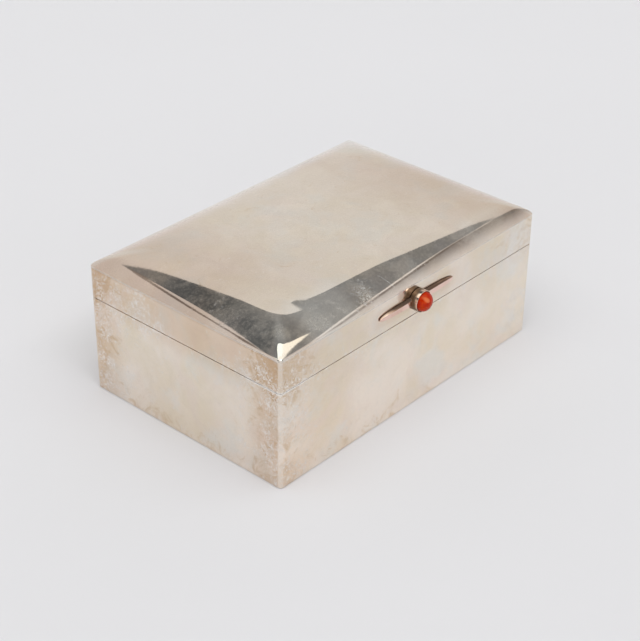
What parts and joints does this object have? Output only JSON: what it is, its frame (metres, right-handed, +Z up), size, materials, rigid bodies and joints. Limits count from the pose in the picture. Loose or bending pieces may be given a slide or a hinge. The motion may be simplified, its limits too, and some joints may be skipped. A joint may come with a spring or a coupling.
{
  "type": "cigar box",
  "caption": "Rectangular silver cigar box with a hinged domed lid, a cedar lining and a thumbpiece set with a round stone.",
  "frame": {"origin": "middle of the underside of the base plate, on the surface that the box stands on", "axes": "+Z up, -Y towards the front with the thumbpiece, +X to the right along the width when the front is faced"},
  "size_m": [0.21, 0.1533, 0.0877],
  "materials": {
    "silver": "satin silver with warm tarnish",
    "polished_silver": "polished silver",
    "rose_gold": "polished rose gold",
    "pale_gold": "polished gold",
    "carnelian": "polished stone",
    "cedar": "bare planed cedar"
  },
  "bodies": {
    "box": {"body_casing": "silver", "base_plate": "silver", "lining_floor": "cedar", "lining_front": "cedar", "lining_back": "cedar", "lining_left": "cedar", "lining_right": "cedar", "body_hinge_bearer": "silver", "body_knuckle_1": "silver", "body_knuckle_2": "silver", "body_knuckle_3": "silver", "body_knuckle_4": "silver", "body_knuckle_5": "silver", "hinge_pin": "silver"},
    "lid": {"lid_casing": "silver", "lid_dome": "polished_silver", "lid_hinge_bearer": "silver", "lid_knuckle_1": "silver", "lid_knuckle_2": "silver", "lid_knuckle_3": "silver", "lid_knuckle_4": "silver", "lid_lining_panel": "cedar", "lid_lining_front": "cedar", "lid_lining_back": "cedar", "lid_lining_left": "cedar", "lid_lining_right": "cedar", "thumb_wing_left": "rose_gold", "thumb_wing_right": "rose_gold", "bezel_cup": "pale_gold", "stone_seat": "pale_gold", "cabochon": "carnelian"}
  },
  "joints": [
    {"name": "lid_hinge", "type": "hinge", "parent": "box", "child": "lid", "pos_m": [0, 0.07185, 0.0583], "axis": [-1, 0, 0], "range_deg": [0, 100]}
  ]
}
